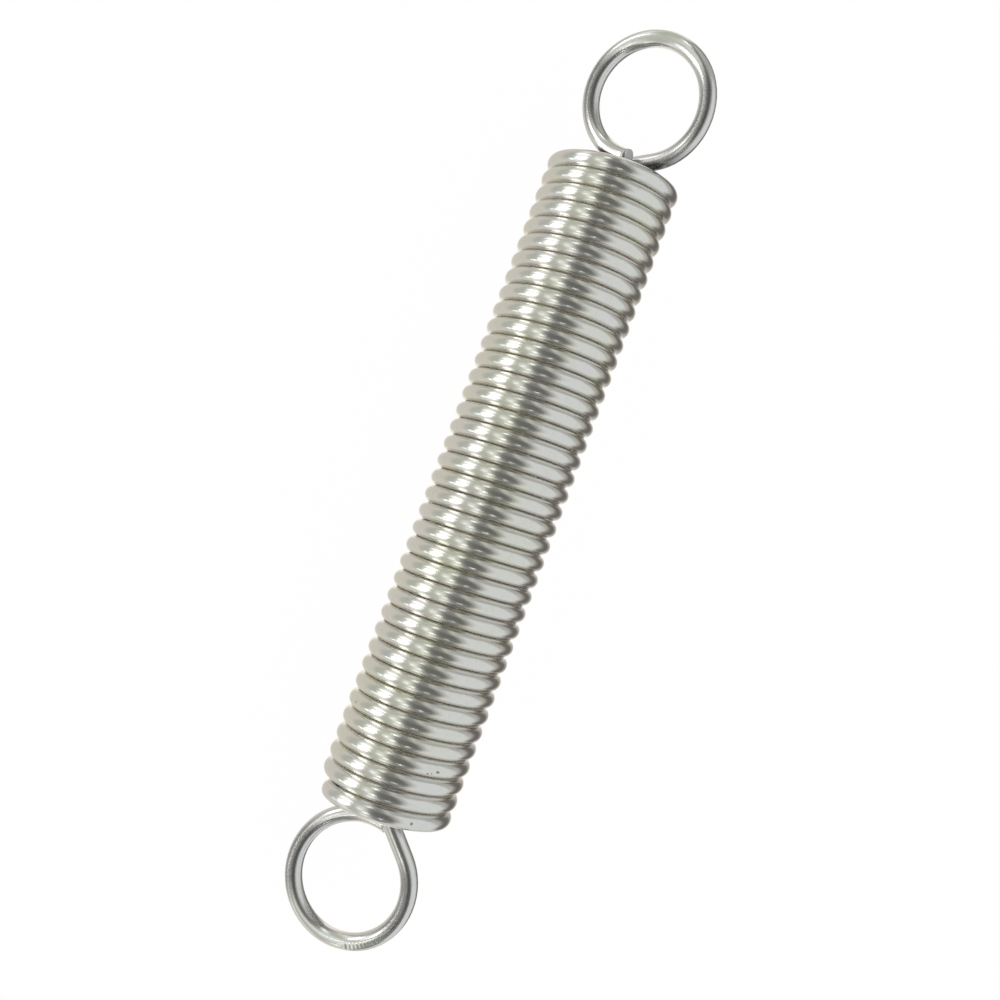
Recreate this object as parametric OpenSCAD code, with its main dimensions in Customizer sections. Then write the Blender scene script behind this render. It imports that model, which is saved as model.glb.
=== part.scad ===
// Close-wound extension spring with a full eye over the centre at each end.
// It is one length of round wire: lower eye and root, the coil, upper root and eye.
// It is described standing up, as it is wound, with the front of the coil towards -Y.
// It is then laid on its side along X, with the upper eye at +X, and rolled until it
// rests on the coil and the lower eye. The origin is the middle of its underside.

/* [Wire] */
// Diameter of the wire
wire_d = 2; // [1.6:0.05:2.2]

/* [Coil] */
// Outside diameter of the coil
coil_od = 15.6; // [15:0.1:20]
// Complete turns that lie side by side in the coil
turns = 37; // [10:1:50]
// Gap left between neighbouring turns
turn_gap = 0.02; // [0.01:0.01:0.5]
// Lean of the turns off square to the coil
turn_lean = 1.4; // [0:0.1:2]

/* [Eyes] */
// Diameter of the hole in the upper eye
upper_eye_id = 11.8; // [11:0.1:16]
// Diameter of the hole in the lower eye
lower_eye_id = 12.2; // [11:0.1:16]
// How far the end of the lower eye reaches past the top of the loop
lower_past = 16; // [0:1:18]
// Gap between the two layers of wire where an eye closes
eye_gap = 0.05; // [0.02:0.01:0.5]
// Turn of the upper eye about the coil, from lying level
upper_turn = 25; // [0:0.5:40]
// Turn of the lower eye about the coil, from lying level
lower_turn = 14.5; // [0:0.5:40]
// Lean of the upper eye out of line with the coil
upper_lean = -13.5; // [-15:0.5:15]
// Lean of the lower eye out of line with the coil
lower_lean = 5; // [-15:0.5:15]

/* [Roots] */
// Radius of the bend that takes the wire inward from the coil
root_bend_r = 3; // [2.5:0.1:3.2]
// Radius of the bend that lifts the wire towards the eye
root_lift_r = 4; // [3:0.1:6]
// Angle at which the wire rises into the upper eye
upper_rise = 19.5; // [15:0.5:55]
// Angle at which the wire drops into the lower eye
lower_rise = 48; // [15:0.5:55]
// Straight wire below the upper eye
upper_straight = 5.4; // [3:0.1:7]
// Straight wire above the lower eye
lower_straight = 5.2; // [3:0.1:7]

/* [Hidden] */
$fn = 48;

wire_r = wire_d / 2;
coil_r = (coil_od - wire_d) / 2;
upper_eye_r = (upper_eye_id + wire_d) / 2;
lower_eye_r = (lower_eye_id + wire_d) / 2;

// A turn climbs less across the front than across the back, and that leans it.
lean_climb = 2 * coil_r * tan(turn_lean);
steepest = atan((wire_r + lean_climb) / (2 * coil_r));
pitch = (wire_d + turn_gap) / cos(steepest);
front_climb = pitch / 2 - lean_climb;
back_climb = pitch / 2 + lean_climb;

// Each half turn is an arc in a plane of its own, rolled about the wire from the last.
function half_tilt(climb) = atan(climb / (2 * coil_r));
function half_radius(climb) = round(1e4 * norm([coil_r, climb / 2])) / 1e4;
front_r = half_radius(front_climb);
back_r = half_radius(back_climb);
half_roll = half_tilt(front_climb) + half_tilt(back_climb);
turn_step = [2 * front_r * cos(half_roll) - 2 * back_r, 0, 2 * front_r * sin(half_roll)];
upright = atan2(-turn_step.x, turn_step.z);

// The inward bend touches the coil inside and sends the wire across its centre.
bend_back = asin(root_bend_r / (coil_r - root_bend_r));
bend_sweep = tidy_angle(90 + bend_back);
upper_part_turn = tidy_angle(180 - upper_turn - bend_back);
lower_part_turn = tidy_angle(180 + lower_turn - bend_back);

// An eye is a short helix of its own, so that its two ends pass each other.
function eye_climb(r) = atan((wire_d + eye_gap) / (2 * PI * r));
function eye_roll(r) = 90 * sin(eye_climb(r));

// A place on the wire is a frame: +Y runs along it and +X points out of its bend.
function shift(v) = [[1, 0, 0, v.x], [0, 1, 0, v.y], [0, 0, 1, v.z], [0, 0, 0, 1]];
function about_y(a) = [[cos(a), 0, sin(a), 0], [0, 1, 0, 0], [-sin(a), 0, cos(a), 0], [0, 0, 0, 1]];
function about_z(a) = [[cos(a), -sin(a), 0, 0], [sin(a), cos(a), 0, 0], [0, 0, 1, 0], [0, 0, 0, 1]];
REVERSED = [[1, 0, 0, 0], [0, -1, 0, 0], [0, 0, -1, 0], [0, 0, 0, 1]];

function place(m) = [m[0][3], m[1][3], m[2][3]];
function outward(m) = [m[0][0], m[1][0], m[2][0]];
function heading(m) = [m[0][1], m[1][1], m[2][1]];
function upward(m) = [m[0][2], m[1][2], m[2][2]];
function unit(v) = v / norm(v);

function after_bend(m, r, sweep) = m * shift([-r, 0, 0]) * about_z(sweep) * shift([r, 0, 0]);
// The roll about the wire that brings +X of a frame round to a direction.
function roll_to(m, out) = atan2(-out * upward(m), out * outward(m));

// The stations along one end: inward bend, lift, straight and the eye. shape lists the
// eye's side (1 upper, -1 lower), turn, lean and radius, the rise, the straight's length
// and how far the end of the eye reaches past the top of its loop.
UPPER = [1, upper_turn, upper_lean, upper_eye_r, upper_rise, upper_straight, 0];
LOWER = [-1, lower_turn, lower_lean, lower_eye_r, lower_rise, lower_straight, lower_past];
function last_arc(shape) = 90 - shape[4] + shape[6];
function eye_across(shape) = [cos(shape[1]), -sin(shape[1]), 0];
function eye_along(shape) =
    let (level = [-sin(shape[1]), -cos(shape[1]), 0])
    shape[0] * cos(shape[2]) * [0, 0, 1] - sin(shape[2]) * level;
function rise_heading(shape) =
    let (t = eye_across(shape), w = eye_along(shape), climb = eye_climb(shape[3]))
    cos(climb) * (cos(shape[4]) * t + sin(shape[4]) * w) + sin(climb) * cross(t, w);
function rise_outward(shape) = sin(shape[4]) * eye_across(shape) - cos(shape[4]) * eye_along(shape);

function bent_in(start) = after_bend(start, root_bend_r, bend_sweep);
function lift_roll(start, along) =
    let (m = bent_in(start), now = heading(m)) roll_to(m, -unit(along - (along * now) * now));
function lift_sweep(start, along) = tidy_angle(acos(heading(bent_in(start)) * along));
function lifted(start, along) =
    after_bend(bent_in(start) * about_y(lift_roll(start, along)), root_lift_r, lift_sweep(start, along));
function eye_start(start, shape) =
    let (m = lifted(start, rise_heading(shape)) * shift([0, shape[5], 0]))
    m * about_y(roll_to(m, rise_outward(shape)));

coil_frame = shift([coil_r, 0, -turns * pitch / 2]) * about_y(upright);
upper_start = after_bend(coil_frame * shift(turns * turn_step), back_r, upper_part_turn);
lower_start = after_bend(coil_frame * about_y(-half_roll) * REVERSED, front_r, lower_part_turn);

// Points along the middle of the wire, round each eye and round one turn of the coil.
function bend_points(m, r, sweep) = [for (a = [0 : sweep]) place(after_bend(m, r, a))];
function eye_points(m, r, last, arcs = 4) =
    arcs == 0 ? [] :
    let (sweep = arcs > 1 ? 90 : last)
    concat(bend_points(m, r, sweep),
           eye_points(after_bend(m, r, sweep) * about_y(eye_roll(r)), r, last, arcs - 1));
upper_eye = eye_points(eye_start(upper_start, UPPER), upper_eye_r, last_arc(UPPER));
lower_eye = eye_points(eye_start(lower_start, LOWER), lower_eye_r, last_arc(LOWER));
front_start = after_bend(coil_frame, back_r, 180) * about_y(half_roll);
coil_turn = concat(bend_points(coil_frame, back_r, 180), bend_points(front_start, front_r, 180));

// The upper eye stands further off the middle line than the lower one. So it tips the
// spring over until the lower eye meets the surface beside the coil. A roll of 0 has the
// front of the coil straight up.
function laid(p, roll) =
    [p.z, p.y * sin(roll) - p.x * cos(roll), -p.x * sin(roll) - p.y * cos(roll)];
function underside(points, roll) = min([for (p = points) laid(p, roll).z]);
function resting_roll(over, short, halvings = 16) =
    let (between = (over + short) / 2)
    halvings == 0 ? tidy_angle(between) :
    underside(lower_eye, between) < underside(coil_turn, between)
        ? resting_roll(between, short, halvings - 1)
        : resting_roll(over, between, halvings - 1);
roll = resting_roll(-60, 0);
at_rest = [for (p = concat(upper_eye, lower_eye, coil_turn)) laid(p, roll)];
function middle(axis) = let (v = [for (p = at_rest) p[axis]]) (min(v) + max(v)) / 2;
lift = wire_r - min([for (p = at_rest) p.z]);

// Moves and rolls are made in a coarse and a fine step, which keeps all of their digits
// in exported files. So each length of wire starts exactly where the last one ends.
function tidy_angle(a) = round(1e3 * a) / 1e3;
function six_digits(x) =
    x == 0 ? 0 : let (s = pow(10, 5 - floor(ln(abs(x)) / ln(10) + 1e-9))) round(s * x) / s;
function written(a) = [six_digits(cos(a)), six_digits(sin(a))];
function stretch(a) = abs(norm(written(a)) - 1);
function coarse_angle(a) =
    let (tries = [for (i = [0 : 50]) a + 1e-4 * i], best = min([for (t = tries) stretch(t)]))
    [for (t = tries) if (stretch(t) == best) t][0];
function fine_angle(a) = let (w = written(coarse_angle(a))) a - atan2(w.y, w.x);

module shifted(v) {
    coarse = [for (x = v) round(1e3 * x) / 1e3];
    translate(coarse)
        translate(v - coarse)
        children();
}

module rolled(a) {
    rotate([0, coarse_angle(a), 0])
        rotate([0, fine_angle(a), 0])
        children();
}

module tipped(a) {
    rotate([coarse_angle(a), 0, 0])
        rotate([fine_angle(a), 0, 0])
        children();
}

module swung(a) {
    rotate([0, 0, coarse_angle(a)])
        rotate([0, 0, fine_angle(a)])
        children();
}

module bend(r, sweep) {
    translate([-r, 0, 0])
        rotate_extrude(angle = sweep)
        translate([r, 0])
        circle(wire_r);
}

module beyond_bend(r, sweep) {
    translate([-r, 0, 0])
        swung(sweep)
        translate([r, 0, 0])
        children();
}

module one_turn() {
    bend(back_r, 180);
    translate([-2 * back_r, 0, 0])
        rotate([0, 0, 180])
        rolled(half_roll)
        bend(front_r, 180);
}

module coil() {
    for (k = [0 : turns - 1])
        shifted(k * turn_step)
            one_turn();
}

module eye(r, last, arcs) {
    bend(r, arcs > 1 ? 90 : last);
    if (arcs > 1)
        translate([-r, r, 0])
            rotate([0, 0, 90])
            rolled(eye_roll(r))
            eye(r, last, arcs - 1);
}

module root_and_eye(start, shape) {
    along = rise_heading(shape);
    bend(root_bend_r, bend_sweep);
    beyond_bend(root_bend_r, bend_sweep)
        rolled(lift_roll(start, along)) {
            bend(root_lift_r, lift_sweep(start, along));
            beyond_bend(root_lift_r, lift_sweep(start, along)) {
                rotate([-90, 0, 0])
                    cylinder(r = wire_r, h = shape[5]);
                translate([0, shape[5], 0])
                    rolled(roll_to(lifted(start, along), rise_outward(shape)))
                    eye(shape[3], last_arc(shape), 4);
            }
        }
}

module upper_end() {
    shifted(turns * turn_step) {
        bend(back_r, upper_part_turn);
        beyond_bend(back_r, upper_part_turn)
            root_and_eye(upper_start, UPPER);
    }
}

module lower_end() {
    rolled(-half_roll)
        rotate([180, 0, 0]) {
            bend(front_r, lower_part_turn);
            beyond_bend(front_r, lower_part_turn)
                root_and_eye(lower_start, LOWER);
        }
}

module lie_down() {
    translate([-middle(0), -middle(1), lift])
        tipped(roll)
        rotate([-90, 0, 0])
        rotate([0, 90, 0])
        children();
}

module spring() {
    color("silver")
        lie_down()
        multmatrix(coil_frame) {
            coil();
            upper_end();
            lower_end();
        }
}

spring();
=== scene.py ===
"""A close-wound extension spring of bright plated wire, lying on its side on a pale table."""

import math

import bpy
import numpy as np
from mathutils import Matrix, Vector


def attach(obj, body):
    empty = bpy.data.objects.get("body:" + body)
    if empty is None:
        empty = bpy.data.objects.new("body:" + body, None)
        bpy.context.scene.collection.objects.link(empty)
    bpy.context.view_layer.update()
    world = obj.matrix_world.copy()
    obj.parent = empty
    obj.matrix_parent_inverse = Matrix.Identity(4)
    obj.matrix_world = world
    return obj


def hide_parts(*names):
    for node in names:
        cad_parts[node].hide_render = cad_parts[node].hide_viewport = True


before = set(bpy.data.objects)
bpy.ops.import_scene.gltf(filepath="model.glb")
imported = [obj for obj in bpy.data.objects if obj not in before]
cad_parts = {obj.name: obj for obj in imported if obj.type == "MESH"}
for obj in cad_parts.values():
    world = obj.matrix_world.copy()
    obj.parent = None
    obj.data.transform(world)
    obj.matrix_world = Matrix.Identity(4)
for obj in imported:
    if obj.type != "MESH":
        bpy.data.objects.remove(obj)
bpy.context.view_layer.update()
MM = 0.001


# The wire. One length of 2 mm spring steel, wound cold on a mandrel into a closed
# right-handed coil, then bent inward at both ends and curled into a full eye.
# Its middle line is a chain of arcs, each starting in the frame in which the last one ended.
WIRE_R = 1.0
COIL_R = 6.8
TURNS = 37
TURN_GAP = 0.02
TURN_LEAN = math.radians(1.4)
BEND_R, LIFT_R = 3.0, 4.0
EYE_GAP = 0.05
UPPER = dict(side=1, turn=25.0, lean=-13.5, radius=6.9, rise=19.5, straight=5.4, past=0.0)
LOWER = dict(side=-1, turn=14.5, lean=5.0, radius=7.1, rise=48.0, straight=5.2, past=16.0)
ROUND = 32

lean_climb = 2 * COIL_R * math.tan(TURN_LEAN)
steepest = math.atan((WIRE_R + lean_climb) / (2 * COIL_R))
pitch = (2 * WIRE_R + TURN_GAP) / math.cos(steepest)
front_climb, back_climb = pitch / 2 - lean_climb, pitch / 2 + lean_climb
front_r, back_r = math.hypot(COIL_R, front_climb / 2), math.hypot(COIL_R, back_climb / 2)
half_roll = math.atan(front_climb / 2 / COIL_R) + math.atan(back_climb / 2 / COIL_R)
turn_across = 2 * front_r * math.cos(half_roll) - 2 * back_r
turn_step = Vector((turn_across, 0, 2 * front_r * math.sin(half_roll)))
upright = math.atan2(-turn_step.x, turn_step.z)
bend_back = math.asin(BEND_R / (COIL_R - BEND_R))
coil_frame = Matrix.Translation((COIL_R, 0, -TURNS * pitch / 2)) @ Matrix.Rotation(upright, 4, "Y")
reverse = Matrix.Diagonal((1, -1, -1, 1))


def after_bend(m, r, sweep):
    """The frame m carried round an arc of radius r, whose middle lies on its own -x."""
    to_middle, back = Matrix.Translation((-r, 0, 0)), Matrix.Translation((r, 0, 0))
    return m @ (to_middle @ Matrix.Rotation(sweep, 4, "Z") @ back)


def rolled_to(m, out):
    """The frame m rolled about the wire until its x points along out."""
    across, up = out.dot(m.col[0].to_3d()), out.dot(m.col[2].to_3d())
    return m @ Matrix.Rotation(math.atan2(-up, across), 4, "Y")


def bend_stations(m, r, sweep, step):
    """The frames along an arc, from m on and without the last."""
    count = max(2, round(abs(r * sweep) / step))
    return [after_bend(m, r, sweep * i / count) for i in range(count)]


def end_stations(start, end, step):
    """The frames along one end, from the inward bend to the tip of the eye."""
    turn, lean, rise = (math.radians(end[k]) for k in ("turn", "lean", "rise"))
    r, side = end["radius"], end["side"]
    climb = math.atan((2 * WIRE_R + EYE_GAP) / (2 * math.pi * r))
    across = Vector((math.cos(turn), -math.sin(turn), 0))
    level = Vector((-math.sin(turn), -math.cos(turn), 0))
    along = side * math.cos(lean) * Vector((0, 0, 1)) - math.sin(lean) * level
    heading = math.cos(climb) * (math.cos(rise) * across + math.sin(rise) * along)
    heading += math.sin(climb) * across.cross(along)
    outward = math.sin(rise) * across - math.cos(rise) * along
    sweep = math.pi / 2 + bend_back
    stations = bend_stations(start, BEND_R, sweep, step)
    m = after_bend(start, BEND_R, sweep)
    now = m.col[1].to_3d()
    m = rolled_to(m, -(heading - heading.dot(now) * now).normalized())
    sweep = math.acos(heading.dot(now))
    stations += bend_stations(m, LIFT_R, sweep, step)
    m = after_bend(m, LIFT_R, sweep)
    count = round(end["straight"] / step)
    stations += [m @ Matrix.Translation((0, end["straight"] * i / count, 0)) for i in range(count)]
    m = rolled_to(m @ Matrix.Translation((0, end["straight"], 0)), outward)
    for i in range(4):
        sweep = math.pi / 2 - (rise - math.radians(end["past"]) if i == 3 else 0)
        stations += bend_stations(m, r, sweep, step)
        m = after_bend(m, r, sweep)
        if i < 3:
            m = m @ Matrix.Rotation(math.pi / 2 * math.sin(climb), 4, "Y")
    return stations + [m]


STEP = 0.7
upper_part = math.pi - math.radians(UPPER["turn"]) - bend_back
lower_part = math.pi + math.radians(LOWER["turn"]) - bend_back
upper_base = coil_frame @ Matrix.Translation(TURNS * turn_step)
lower_base = coil_frame @ Matrix.Rotation(-half_roll, 4, "Y") @ reverse
coil_stations = []
for k in range(TURNS):
    at = coil_frame @ Matrix.Translation(k * turn_step)
    coil_stations += bend_stations(at, back_r, math.pi, STEP)
    at = after_bend(at, back_r, math.pi) @ Matrix.Rotation(half_roll, 4, "Y")
    coil_stations += bend_stations(at, front_r, math.pi, STEP)
upper_stations = bend_stations(upper_base, back_r, upper_part, STEP)
upper_stations += end_stations(after_bend(upper_base, back_r, upper_part), UPPER, STEP)
lower_stations = bend_stations(lower_base, front_r, lower_part, STEP)
lower_stations += end_stations(after_bend(lower_base, front_r, lower_part), LOWER, STEP)
lower_stations = [m @ reverse for m in reversed(lower_stations[1:])]
stations = lower_stations + coil_stations + upper_stations

# The spring lies with its coil along X and the upper eye at +X. It has rolled off the
# photographed side by 27 degrees, until its lower eye meets the table beside the coil.
ROLL = math.radians(-27.141)
COIL_MIDDLE = Vector((0.8288, 0.0025, 7.8264))
roll = Matrix.Rotation(ROLL, 4, "X")
upright_to_side = Matrix(((0, 0, 1, 0), (-1, 0, 0, 0), (0, -1, 0, 0), (0, 0, 0, 1)))
lie_down = Matrix.Translation(COIL_MIDDLE) @ roll @ upright_to_side
stations = [lie_down @ m for m in stations]
photo_right = (roll @ Vector((0, -1, 0, 0))).to_3d()
photo_up = Vector((1, 0, 0))
photo_toward = (roll @ Vector((0, 0, 1, 0))).to_3d()

# Along the coil each ring of points is set square to the coil's axis, and it is carried on
# without twist through the ends, so that the marks of the drawing die run along the wire.
centres = np.array([m.to_translation() for m in stations])
heads = np.array([m.col[1].to_3d() for m in stations])
lower_part_count = round(lower_part * front_r / STEP)
upper_part_count = round(upper_part * back_r / STEP)
coil_start = len(lower_stations) - lower_part_count
coil_stop = len(lower_stations) + len(coil_stations) + upper_part_count
ups = np.array([1.0, 0, 0]) - heads[:, :1] * heads
ups /= np.linalg.norm(ups, axis=1)[:, None]
outs = np.cross(heads, ups)
ends = [(i, i + 1) for i in range(coil_start - 1, -1, -1)]
ends += [(i, i - 1) for i in range(coil_stop, len(stations))]
for i, before in ends:
    square = outs[before] - heads[i] * (outs[before] @ heads[i])
    outs[i] = square / np.linalg.norm(square)
ups = np.cross(outs, heads)
length = np.r_[0, np.cumsum(np.linalg.norm(np.diff(centres, axis=0), axis=1))]
angles = np.linspace(0, 2 * math.pi, ROUND, endpoint=False)
ring = np.cos(angles)[None, :, None] * outs[:, None, :]
ring += np.sin(angles)[None, :, None] * ups[:, None, :]

# Neighbouring turns press on each other along one line each, where dirt gathers. Only
# the outer side of the first and last turn is clear of it.
per_turn = len(coil_stations) / TURNS
place = np.arange(len(stations))
below = (place > coil_start + per_turn) & (place < coil_stop)
above = (place > coil_start) & (place < coil_stop - per_turn)
beside = ring[:, :, 0]
groove = np.where(beside > 0, beside * above[:, None], -beside * below[:, None])

# A gripping tool pressed a flat on the lower eye, on the side that faces the photograph.
# It runs between two lengths along the wire, in millimetres from the lower tip, and a line
# across it shows where the jaw began.
GRIP_FROM, GRIP_TO, GRIP_DEPTH = 26.5, 31.0, 0.12
inward = -np.array([m.col[0].to_3d() for m in stations])
pressed = 0.97 * np.array(photo_toward) - 0.25 * inward
pressed /= np.linalg.norm(pressed, axis=1)[:, None]
facing = np.einsum("ijk,ik->ij", ring, pressed)
held = np.interp(length, (GRIP_FROM - 0.25, GRIP_FROM, GRIP_TO, GRIP_TO + 0.6), (0, 1, 1, 0))
limit = WIRE_R - GRIP_DEPTH * held[:, None]
radius = np.minimum(WIRE_R, limit / np.maximum(facing, 0.2))
grip = held[:, None] * np.clip((facing - 0.80) / 0.1, 0, 1)

# The flanks of both eyes, where the wire runs along the spring, get a painted dark reflection in patches
# on the side turned toward the camera. The same places are made rougher, as if rubbed by the bending
# tool.
# The first stations past the coil, in the bends, are clear of it.
IN_BENDS = 14
painted_dark_side = np.array((0.94 * photo_toward - 0.34 * photo_right).normalized())
flank = np.clip((np.abs(heads[:, 0]) - 0.70) / 0.22, 0, 1)
flank *= (place < coil_start - IN_BENDS) | (place > coil_stop + IN_BENDS)
rubbed_and_painted_dark = flank[:, None] * np.clip((ring @ painted_dark_side - 0.72) / 0.14, 0, 1)

# The upper root gets the same painted dark reflection, with roughening, on its side that faces the coil.
root = np.interp(place - coil_stop, (9, 12, 24, 28), (0, 1, 1, 0))
coil_side = np.array((0.6 * photo_toward - 0.8 * photo_up).normalized())
root_painted_dark = 0.8 * root[:, None] * np.clip((ring @ coil_side - 0.3) / 0.3, 0, 1)
rubbed_and_painted_dark = np.maximum(rubbed_and_painted_dark, root_painted_dark)

# The skin is one strip of four-sided faces round each pair of rings, with a fan at each tip.
skin = (centres[:, None, :] + radius[:, :, None] * ring) * MM

verts = [tuple(p) for row in skin for p in row]
faces = []
uvs = []
for i in range(len(stations) - 1):
    for j in range(ROUND):
        k = (j + 1) % ROUND
        faces.append((i * ROUND + j, i * ROUND + k, (i + 1) * ROUND + k, (i + 1) * ROUND + j))
        a, b = j / ROUND, (j + 1) / ROUND
        uvs += [(length[i], a), (length[i], b), (length[i + 1], b), (length[i + 1], a)]
for i, flip in ((0, False), (len(stations) - 1, True)):
    hub = len(verts)
    verts.append(tuple(centres[i] * MM))
    for j in range(ROUND):
        k = (j + 1) % ROUND
        face = (hub, i * ROUND + k, i * ROUND + j)
        faces.append(face[::-1] if flip else face)
        uvs += [(length[i], 0.5)] * 3
mesh = bpy.data.meshes.new("wire")
mesh.from_pydata(verts, [], faces)
layer = mesh.uv_layers.new(name="wire_length")
layer.data.foreach_set("uv", np.array(uvs, dtype=np.float32).ravel())
round_faces, cap_faces = len(faces) - 2 * ROUND, 2 * ROUND
mesh.polygons.foreach_set("use_smooth", [True] * round_faces + [False] * cap_faces)
for name, values in (("groove", groove), ("grip", grip), ("rubbed_and_painted_dark", rubbed_and_painted_dark)):
    caps = np.zeros(len(verts) - values.size)
    mesh.attributes.new(name, "FLOAT", "POINT").data.foreach_set("value", np.r_[values.ravel(), caps])
mesh.update()
wire = bpy.data.objects.new("wire", mesh)
bpy.context.scene.collection.objects.link(wire)
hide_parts("spring")
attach(wire, "root")

plated = bpy.data.materials.new("plated_wire")
plated.use_nodes = True
nodes, links = plated.node_tree.nodes, plated.node_tree.links
shader = nodes["Principled BSDF"]


def node(kind, **settings):
    """A new node in the material at hand, with its settings and the values of its sockets."""
    made = nodes.new("ShaderNode" + kind)
    for key, value in settings.items():
        if key.startswith("in_"):
            made.inputs[int(key[3:])].default_value = value
        else:
            setattr(made, key, value)
    return made


def calc(operation, a, b=0.0, clamp=False):
    made = node("Math", operation=operation, use_clamp=clamp)
    for i, value in enumerate((a, b)):
        if isinstance(value, (int, float)):
            made.inputs[i].default_value = value
        else:
            links.new(value, made.inputs[i])
    return made.outputs[0]


def ramp(value, low, high, to_low=0.0, to_high=1.0, smooth=True):
    made = node("MapRange", in_1=low, in_2=high, in_3=to_low, in_4=to_high)
    made.interpolation_type = "SMOOTHSTEP" if smooth else "LINEAR"
    links.new(value, made.inputs[0])
    return made.outputs[0]


def blend(mask, under, over):
    made = node("Mix", data_type="RGBA")
    links.new(mask, made.inputs[0])
    for i, colour in ((6, under), (7, over)):
        if isinstance(colour, tuple):
            made.inputs[i].default_value = (*colour, 1)
        else:
            links.new(colour, made.inputs[i])
    return made.outputs[2]


# Around the wire the pattern runs on a circle, so that it has no seam.
uv = node("UVMap", uv_map="wire_length")
split = node("SeparateXYZ")
links.new(uv.outputs[0], split.inputs[0])
around = calc("MULTIPLY", split.outputs[1], 2 * math.pi)
on_wire = node("CombineXYZ")
links.new(calc("MULTIPLY", calc("COSINE", around), 7.0), on_wire.inputs[0])
links.new(calc("MULTIPLY", calc("SINE", around), 7.0), on_wire.inputs[1])
links.new(calc("MULTIPLY", split.outputs[0], 0.12), on_wire.inputs[2])
draw_lines = node("TexNoise", in_2=1.0, in_3=3.0, in_4=0.6)
links.new(on_wire.outputs[0], draw_lines.inputs[0])
where = node("TexCoord")
in_mm = node("VectorMath", operation="SCALE")
in_mm.inputs[3].default_value = 1000.0
links.new(where.outputs["Object"], in_mm.inputs[0])
cloud = node("TexNoise", in_2=0.16, in_3=2.0, in_4=0.5)
links.new(in_mm.outputs[0], cloud.inputs[0])
mottle = node("TexNoise", in_2=1.7, in_3=4.0, in_4=0.6)
links.new(in_mm.outputs[0], mottle.inputs[0])
grain = node("TexNoise", in_2=9.0, in_3=3.0, in_4=0.6)
links.new(in_mm.outputs[0], grain.inputs[0])

# The plating is a neutral silver, cooler towards the eyes and yellow-green along the coil.
at = node("SeparateXYZ")
links.new(in_mm.outputs[0], at.inputs[0])
to_eyes = ramp(calc("ABSOLUTE", calc("SUBTRACT", at.outputs[0], 0.8)), 33, 41)
silver = blend(ramp(cloud.outputs["Fac"], 0.35, 0.65), (0.79, 0.785, 0.735), (0.80, 0.78, 0.775))
silver = blend(to_eyes, silver, (0.78, 0.77, 0.785))
silver = blend(ramp(mottle.outputs["Fac"], 0.45, 0.75, 0.0, 0.35), silver, (0.66, 0.67, 0.60))

# Olive-brown dirt fills the grooves and thins out unevenly up their sides.
on_groove = node("Attribute", attribute_name="groove")
uneven = calc("MULTIPLY", calc("SUBTRACT", mottle.outputs["Fac"], 0.5), 0.08)
dirt = ramp(calc("ADD", on_groove.outputs["Fac"], uneven), 0.93, 0.985)
colour = blend(dirt, silver, (0.83, 0.78, 0.69))
links.new(calc("SUBTRACT", 1.0, dirt), shader.inputs["Metallic"])

# The flat is bright and its jaw line dark. The flanks get a painted dark reflection in patches, and they
# are also rougher, as if rubbed.
on_grip = node("Attribute", attribute_name="grip")
colour = blend(on_grip.outputs["Fac"], colour, (0.84, 0.84, 0.83))
to_jaw = calc("ABSOLUTE", calc("SUBTRACT", split.outputs[0], GRIP_FROM))
jaw_line = calc("MULTIPLY", ramp(to_jaw, 0.04, 0.16, 0.7, 0.0), on_grip.outputs["Fac"])
colour = blend(jaw_line, colour, (0.20, 0.19, 0.19))
on_rubbed_and_painted_dark = node("Attribute", attribute_name="rubbed_and_painted_dark")
patchy = ramp(grain.outputs["Fac"], 0.30, 0.70, 0.65, 1.0)
dull_and_painted_dark = calc("MULTIPLY", on_rubbed_and_painted_dark.outputs["Fac"], patchy)
# Painted dark reflection, in patches, on the eye flanks and the upper root.
colour = blend(dull_and_painted_dark, colour, (0.21, 0.205, 0.21))

# Specks of dirt, each a place on the wire and a size in millimetres.
speck = bpy.data.node_groups.new("speck", "ShaderNodeTree")
speck.interface.new_socket("Place", in_out="INPUT", socket_type="NodeSocketVector")
speck.interface.new_socket("Centre", in_out="INPUT", socket_type="NodeSocketVector")
speck.interface.new_socket("Size", in_out="INPUT", socket_type="NodeSocketFloat")
speck.interface.new_socket("Mask", in_out="OUTPUT", socket_type="NodeSocketFloat")
way_in, way_out = speck.nodes.new("NodeGroupInput"), speck.nodes.new("NodeGroupOutput")
gap = speck.nodes.new("ShaderNodeVectorMath")
gap.operation = "DISTANCE"
fade = speck.nodes.new("ShaderNodeMapRange")
fade.interpolation_type = "SMOOTHSTEP"
fade.inputs[1].default_value = 0.0
fade.inputs[3].default_value = 1.0
fade.inputs[4].default_value = 0.0
speck.links.new(way_in.outputs["Place"], gap.inputs[0])
speck.links.new(way_in.outputs["Centre"], gap.inputs[1])
speck.links.new(gap.outputs["Value"], fade.inputs[0])
speck.links.new(way_in.outputs["Size"], fade.inputs[2])
speck.links.new(fade.outputs[0], way_out.inputs["Mask"])
SPECKS = (
    (-36.88, -0.07, 15.66, 0.28),
    (-31.34, 0.12, 15.52, 0.20),
    (-31.22, -0.30, 15.57, 0.16),
    (-30.90, -0.91, 15.61, 0.26),
    (-30.92, -1.10, 15.58, 0.20),
    (-27.27, 7.69, 8.40, 0.24),
    (-25.67, -4.07, 13.77, 0.22),
)
for x, y, z, size in SPECKS:
    spot = node("Group")
    spot.node_tree = speck
    spot.inputs["Centre"].default_value = (x, y, z)
    spot.inputs["Size"].default_value = size
    links.new(in_mm.outputs[0], spot.inputs["Place"])
    colour = blend(spot.outputs["Mask"], colour, (0.12, 0.10, 0.08))
links.new(colour, shader.inputs["Base Color"])

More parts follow.
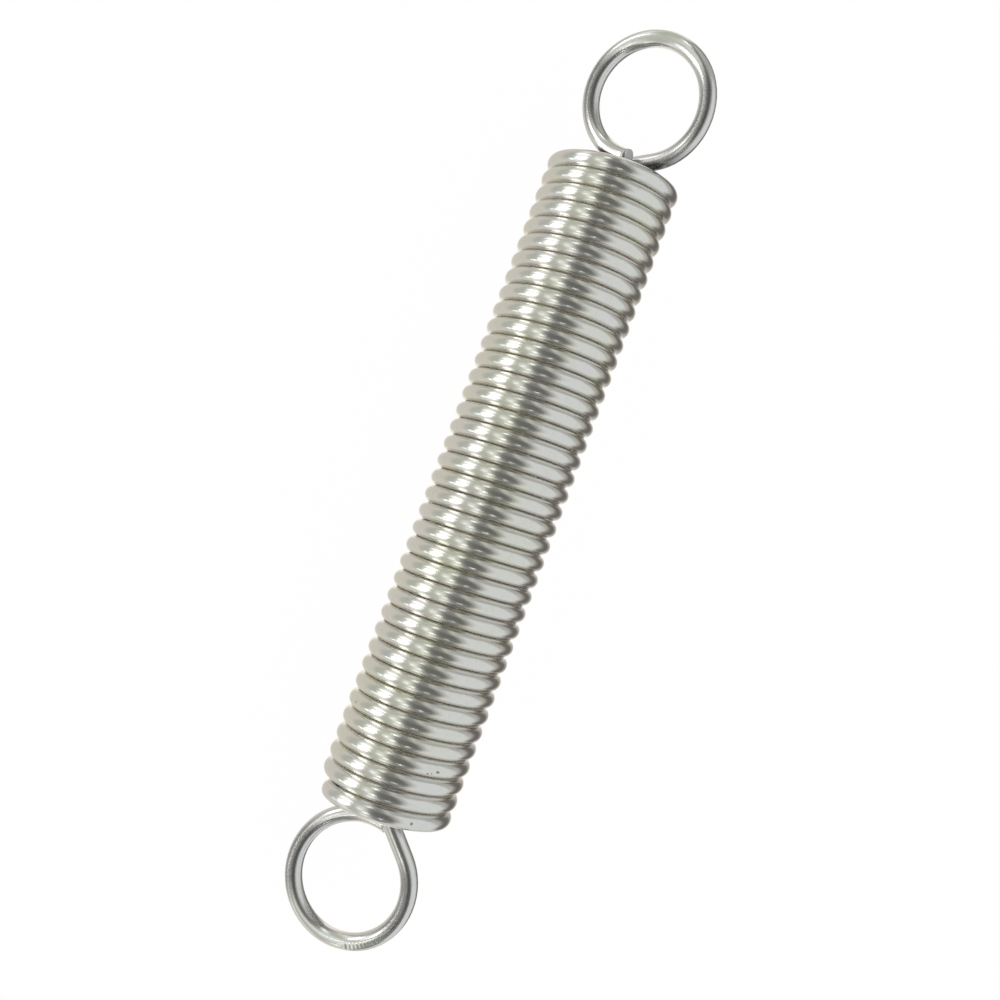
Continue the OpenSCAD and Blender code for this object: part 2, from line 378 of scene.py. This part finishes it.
# Bare plating is smooth. Dirt and rubbing roughen it.
rough = ramp(mottle.outputs["Fac"], 0.3, 0.7, 0.04, 0.10, smooth=False)
worn = calc("MAXIMUM", dirt, calc("MULTIPLY", dull_and_painted_dark, 0.7))
rough = calc("ADD", rough, calc("MULTIPLY", worn, 0.5))
links.new(calc("ADD", rough, calc("MULTIPLY", on_grip.outputs["Fac"], 0.05)), shader.inputs["Roughness"])

# The relief: drawn lines along the wire, a fine grain, and the jaw's teeth across the flat.
TOOTH_PITCH = 0.45
tooth = calc("SINE", calc("MULTIPLY", split.outputs[0], 2 * math.pi / TOOTH_PITCH))
tooth = calc("MULTIPLY", tooth, calc("MULTIPLY", on_grip.outputs["Fac"], 0.25))
relief = calc("ADD", draw_lines.outputs["Fac"], calc("MULTIPLY", grain.outputs["Fac"], 0.5))
bump = node("Bump")
bump.inputs["Strength"].default_value = 0.5
bump.inputs["Distance"].default_value = 0.00003
links.new(calc("ADD", relief, tooth), bump.inputs["Height"])
links.new(bump.outputs[0], shader.inputs["Normal"])
mesh.materials.append(plated)

# The two ends are cut square with shears, which leaves them pale and coarse. Their near-white,
# unmetallic colour is also painted light, standing in for bright light on the cut faces.
sheared_and_painted_lit = bpy.data.materials.new("sheared_end_and_painted_lit")
sheared_and_painted_lit.use_nodes = True
nodes, links = sheared_and_painted_lit.node_tree.nodes, sheared_and_painted_lit.node_tree.links
shader = nodes["Principled BSDF"]
where = node("TexCoord")
in_mm = node("VectorMath", operation="SCALE")
in_mm.inputs[3].default_value = 1000.0
links.new(where.outputs["Object"], in_mm.inputs[0])
torn = node("TexNoise", in_2=5.0, in_3=4.0, in_4=0.65)
links.new(in_mm.outputs[0], torn.inputs[0])
# Near-white colour on the cut faces, partly painted light.
torn_and_painted_lit_colour = blend(torn.outputs["Fac"], (0.88, 0.85, 0.92), (0.97, 0.95, 0.99))
links.new(torn_and_painted_lit_colour, shader.inputs["Base Color"])
links.new(ramp(torn.outputs["Fac"], 0.3, 0.7, 0.30, 0.55), shader.inputs["Roughness"])
bump = node("Bump")
bump.inputs["Strength"].default_value = 0.5
bump.inputs["Distance"].default_value = 0.00008
links.new(torn.outputs["Fac"], bump.inputs["Height"])
links.new(bump.outputs[0], shader.inputs["Normal"])
mesh.materials.append(sheared_and_painted_lit)
mesh.polygons.foreach_set("material_index", [0] * round_faces + [1] * cap_faces)


# The table. A plain white sheet that the spring lies on. The camera sees it glow white, with
# a trace of the spring's shadow, and the metal reflects the tent in its place.
sheet_mesh = bpy.data.meshes.new("table_sheet")
half = 1.5
corners = [(-half, -half, 0), (half, -half, 0), (half, half, 0), (-half, half, 0)]
sheet_mesh.from_pydata(corners, [], [(0, 1, 2, 3)])
sheet = bpy.data.objects.new("table_sheet", sheet_mesh)
bpy.context.scene.collection.objects.link(sheet)
sheet.visible_glossy = False
paper = bpy.data.materials.new("white_sheet")
paper.use_nodes = True
nodes, links = paper.node_tree.nodes, paper.node_tree.links
nodes["Principled BSDF"].inputs["Base Color"].default_value = (0.8, 0.8, 0.8, 1)
nodes["Principled BSDF"].inputs["Roughness"].default_value = 0.9
glow = nodes.new("ShaderNodeEmission")
glow.inputs["Strength"].default_value = 1.02
GLOW_SHARE = 0.96
path = nodes.new("ShaderNodeLightPath")
mix = nodes.new("ShaderNodeMixShader")
cover = nodes.new("ShaderNodeMath")
cover.operation = "MULTIPLY"
cover.inputs[1].default_value = GLOW_SHARE
links.new(path.outputs["Is Camera Ray"], cover.inputs[0])
links.new(cover.outputs[0], mix.inputs[0])
links.new(nodes["Principled BSDF"].outputs[0], mix.inputs[1])
links.new(glow.outputs[0], mix.inputs[2])
links.new(mix.outputs[0], nodes["Material Output"].inputs["Surface"])
sheet_mesh.materials.append(paper)


# The camera looks down on the spring. In the frame of the picture, the coil's axis leans
# 20 degrees to the right and its upper end drops 3 degrees away. Lengths of the picture are
# in its pixels, of which it has 1000 across, and SCALE of them show a millimetre. The two
# shoves are small corrections of where the camera stands.
ACROSS = 1000
FOCAL_LENGTH = 1264.67
SCALE = 8.7607
DISTANCE = FOCAL_LENGTH / SCALE
LEAN, DROP = math.radians(20.224), 0.054
along = Vector((math.sin(LEAN) * math.cos(DROP), math.cos(LEAN) * math.cos(DROP), -math.sin(DROP)))
right = Vector((math.cos(LEAN), -math.sin(LEAN), 0))
toward = right.cross(along)
turn = Matrix((along, -right, toward))
aim = Vector((-13.55, -37.64, 0)) / SCALE
shove_across = 1.31 / SCALE * Vector((0.9409, -0.3387, 0))
shove_along = Vector((-0.72, 0, 0))
eye_point = turn @ (Vector((0, 0, DISTANCE)) - (aim - shove_across)) + shove_along
eye_point = COIL_MIDDLE + roll.to_3x3() @ eye_point
turn = roll.to_3x3() @ turn
camera_data = bpy.data.cameras.new("camera")
camera = bpy.data.objects.new("camera", camera_data)
bpy.context.scene.collection.objects.link(camera)
camera.matrix_world = Matrix.Translation(eye_point * MM) @ turn.to_4x4()
camera_data.sensor_width = 36
camera_data.lens = camera_data.sensor_width * FOCAL_LENGTH / ACROSS
camera_data.shift_x = -0.01355
camera_data.shift_y = -0.04764
camera_data.clip_start = 0.01
bpy.context.scene.camera = camera


# The light. A tent stands round the table, with a bright strip on the photograph's left, a
# pale panel on its right, and between them the dark gap that the camera looks through.
# Directions are degrees round the spring from the camera, and degrees up towards its upper eye.
world = bpy.data.worlds.new("tent")
bpy.context.scene.world = world
world.use_nodes = True
nodes, links = world.node_tree.nodes, world.node_tree.links
ray = node("TexCoord")


def towards(direction):
    made = node("VectorMath", operation="DOT_PRODUCT")
    made.inputs[1].default_value = direction
    links.new(ray.outputs["Generated"], made.inputs[0])
    return made.outputs["Value"]


DEGREE = 180 / math.pi
BOW = 0.009
EDGE = 6
side = calc("MULTIPLY", calc("ARCTAN2", towards(photo_right), towards(photo_toward)), DEGREE)
height = calc("MULTIPLY", calc("ARCSINE", towards(photo_up)), DEGREE)
bowed = calc("ADD", side, calc("MULTIPLY", calc("MULTIPLY", height, height), BOW))


def card(colour, start, stop, bottom=-90, top=90, soft=5, start_lean=0.0, stop_lean=0.0, across=side):
    """Hangs a card over the tent so far, from one side to another and between two heights."""
    global tent
    left = calc("SUBTRACT", across, calc("MULTIPLY", height, start_lean))
    right = calc("SUBTRACT", across, calc("MULTIPLY", height, stop_lean))
    past_start = ramp(left, start - soft, start + soft)
    mask = calc("MULTIPLY", past_start, ramp(right, stop - soft, stop + soft, 1.0, 0.0))
    mask = calc("MULTIPLY", mask, ramp(height, bottom - EDGE, bottom + EDGE))
    mask = calc("MULTIPLY", mask, ramp(height, top - EDGE, top + EDGE, 1.0, 0.0))
    tent = blend(mask, tent, colour)


# The far side of the tent, and the cards behind the spring on its right and left.
tent = blend(ramp(height, -90, 90), (0.72, 0.70, 0.63), (0.66, 0.64, 0.57))
card((0.46, 0.47, 0.44), 15, 112, -32, 95, 8)
card((0.17, 0.16, 0.15), 118, 154, -32, 95, 12)
card((0.48, 0.46, 0.43), 155, 165, soft=6)
card((0.95, 0.93, 0.88), 168, 200, soft=6)
card((1.0, 0.93, 0.82), -200, -162, soft=6)
card((0.52, 0.54, 0.49), -104, -80, -26, 95, 5)

# The pale panel on the right, the left wall, and the dark gap between them.
card((0.75, 0.78, 0.76), 34, 106, -65, 44, 8, -0.25, -0.5)
card((0.55, 0.57, 0.49), -80, -12, soft=5)
card((0.80, 0.83, 0.76), -40, -22, -70, 28, 3, -0.1, -0.1)
card((0.26, 0.265, 0.245), -19, 21, soft=8, start_lean=-0.1, stop_lean=-0.35)
card((0.165, 0.17, 0.155), -13, 21, -38, 22, 7, -0.1, -0.3)

# The strip on the left, which is bowed, with its two brightest parts.
card((0.95, 0.95, 0.90), -75, -50, -66, 66, 3, across=bowed)
card((3.4, 3.4, 3.3), -71, -54, -31, 1, 2.5, across=bowed)
card((2.8, 2.8, 2.7), -71, -50, 19, 29, 2.5, across=bowed)

# Small lights: a blue one far to the left, four beside the gap and one in it.
card((3.8, 4.6, 5.0), -92, -87, -30, -24, 1.5)
card((2.7, 2.7, 2.6), -33, -22, 42, 50, 2)
card((2.2, 2.2, 2.1), -37, -30, -11, -5, 2)
card((3.0, 3.0, 2.9), -25, -18, -35, -27, 2)
card((2.0, 2.0, 1.9), -48, -32, -72, -62, 3)
card((6.5, 6.7, 6.8), 7, 10, -48, -44, 1)

background = nodes["Background"]
path = node("LightPath")
links.new(blend(path.outputs["Is Camera Ray"], tent, (1.0, 1.0, 1.0)), background.inputs["Color"])
background.inputs["Strength"].default_value = 1.0
bpy.context.scene.view_settings.view_transform = "Standard"
